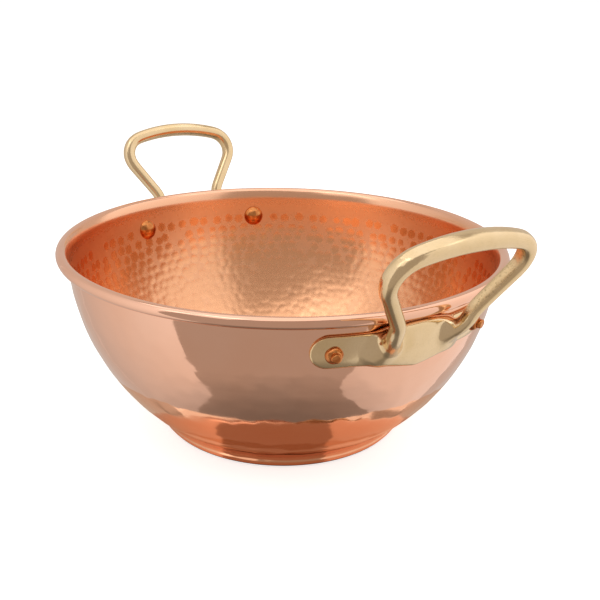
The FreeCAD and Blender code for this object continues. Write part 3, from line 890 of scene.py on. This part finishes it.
def add_camera():
    level = math.cos(CAMERA_RISE)
    away = Vector((math.sin(CAMERA_TURN) * level, -math.cos(CAMERA_TURN) * level, math.sin(CAMERA_RISE)))
    right = Vector((math.cos(CAMERA_TURN), math.sin(CAMERA_TURN), 0))
    where = Vector((0, 0, BEAD_Z)) + away * CAMERA_FAR
    aim = right * AIM_SIDE + Vector((0, 0, AIM_Z))
    data = bpy.data.cameras.new("camera")
    data.lens, data.sensor_width = LENS, SENSOR
    data.clip_start, data.clip_end = 0.01, 50.0
    camera = add_object("camera", data)
    camera.location = where * MM
    camera.rotation_mode = "QUATERNION"
    camera.rotation_quaternion = (aim - where).to_track_quat("-Z", "Y") @ Quaternion((0, 0, 1), CAMERA_ROLL)
    bpy.context.scene.camera = camera


def add_light(name, where, away, size, shine, across=(1, 1), upward=(1, 1)):
    """A rectangle that shines back along away and that the camera doesn't see.

    across and upward are shares of its shine, from one side to the other and from its foot to its top.
    """
    data = bpy.data.lights.new(name, "AREA")
    data.shape, data.size, data.size_y = "RECTANGLE", size[0], size[1]
    data.energy = shine * math.pi * size[0] * size[1]
    data.use_nodes = True
    tree = Nodes(data.node_tree)
    spot = tree.add("SeparateXYZ", {0: tree.add("NewGeometry").outputs["Parametric"]}).outputs
    shares = [tree.span(spot[k], 0, 1, *ends) for k, ends in enumerate((across, upward))]
    tree.set(tree.nodes["Emission"], {"Strength": tree.times(*shares)})
    light = add_object(name, data)
    light.location = where
    light.rotation_mode = "QUATERNION"
    light.rotation_quaternion = away.to_track_quat("Z", "Y")
    light.visible_camera = False


def add_softbox(name, turns, rises, shine, across):
    """A soft light that fills a window of directions round the bowl, a little dimmer at its foot."""
    a = CAMERA_TURN + math.radians(sum(turns) / 2)
    away = Vector((math.sin(a), -math.cos(a), 0))
    half_wide = SOFTBOX_FAR * math.tan(math.radians(turns[1] - turns[0]) / 2)
    low, high = [SOFTBOX_FAR * math.tan(math.radians(rise)) for rise in rises]
    where = away * SOFTBOX_FAR + Vector((0, 0, BEAD_Z * MM + (low + high) / 2))
    add_light(name, where, away, (2 * half_wide, high - low), shine, across, SOFTBOX_UPWARD)


def add_lights():
    """Softboxes left, right, behind, high in front and overhead, with a dimmer gap round the camera."""
    for name, values in SOFTBOXES.items():
        add_softbox(name, *values)
    up = Vector((0, 0, 1))
    add_light("softbox_top", up * OVERHEAD_Z, up, (OVERHEAD_WIDE, OVERHEAD_WIDE), OVERHEAD_SHINE)


def add_world():
    """The camera sees plain white, and everything else a dim, warm room that is darker straight down."""
    world = bpy.data.worlds.new("studio")
    world.use_nodes = True
    tree = Nodes(world.node_tree)
    height = tree.add("SeparateXYZ", {0: tree.add("TexCoord").outputs["Generated"]}).outputs["Z"]
    room = tree.nodes["Background"]
    tree.set(room, {"Color": ROOM, "Strength": tree.span(height, *ROOM_DARK, ROOM_DARK_SHINE, ROOM_SHINE)})
    white = tree.add("Background", {"Color": WHITE, "Strength": 1.0})
    seen = tree.add("LightPath").outputs["Is Camera Ray"]
    both = tree.add("MixShader", {0: seen, 1: room.outputs[0], 2: white.outputs[0]})
    tree.set(tree.nodes["World Output"], {"Surface": both.outputs[0]})
    bpy.context.scene.world = world


def flat_piece(name, points, faces, height, material):
    """A level part of the studio, in metres."""
    mesh = bpy.data.meshes.new(name)
    mesh.from_pydata([(x, y, height) for x, y in points], [], faces)
    mesh.materials.append(material)
    piece = add_object(name, mesh)
    return piece


def add_floor():
    """A pale floor, which the copper doesn't mirror. It is clear from below, to show the bowl's underside."""
    m = Shader("pale_floor", Roughness=0.8)
    m.set(m.shader, {"Base Color": FLOOR_PALE, "Specular IOR Level": 0.0,
                     "Emission Color": WHITE, "Emission Strength": FLOOR_GLOW})
    below, clear = m.add("NewGeometry").outputs["Backfacing"], m.add("BsdfTransparent").outputs[0]
    both = m.add("MixShader", {0: below, 1: m.shader.outputs[0], 2: clear})
    m.set(m.nodes["Material Output"], {"Surface": both.outputs[0]})
    corners = [(x * FLOOR_HALF, y * FLOOR_HALF) for x, y in ((-1, -1), (1, -1), (1, 1), (-1, 1))]
    floor = flat_piece("floor", corners, [(0, 1, 2, 3)], FLOOR_Z, m.material)
    floor.visible_glossy = False
    floor.visible_shadow = False


def add_stand_top():
    """A small glossy stand top, which only the metal mirrors. Its brownish tint is painted shade and
    copper-coloured bounce light, standing for the floor round the foot.

    It is a ring, so that the underside of the foot isn't shut in between two mirrors.
    """
    m = Shader("glossy_painted_shade_top", Metallic=1.0, Roughness=0.08)
    # painted shade and bounce light: the tint that the copper mirrors near its foot
    m.set(m.shader, {"Base Color": STAND_PAINTED_SHADE_AND_BOUNCE})
    count = STAND_SIDES
    turns = [2 * math.pi * i / count for i in range(count)]
    points = [(r * math.cos(t), r * math.sin(t)) for r in (BASE_R * MM, STAND_R) for t in turns]
    faces = [(i, count + i, count + (i + 1) % count, (i + 1) % count) for i in range(count)]
    top = flat_piece("stand_top", points, faces, STAND_Z, m.material)
    top.visible_camera = False


def main():
    bpy.context.scene.view_settings.view_transform = "Standard"
    add_camera()
    add_lights()
    add_world()
    add_floor()
    add_stand_top()
    build_bowl(copper_sheet())
    build_handles(cast_brass())
    build_rivets(rivet_copper())
    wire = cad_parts["rim_wire"]
    wire.data.materials.clear()
    wire.data.materials.append(steel_wire())


main()
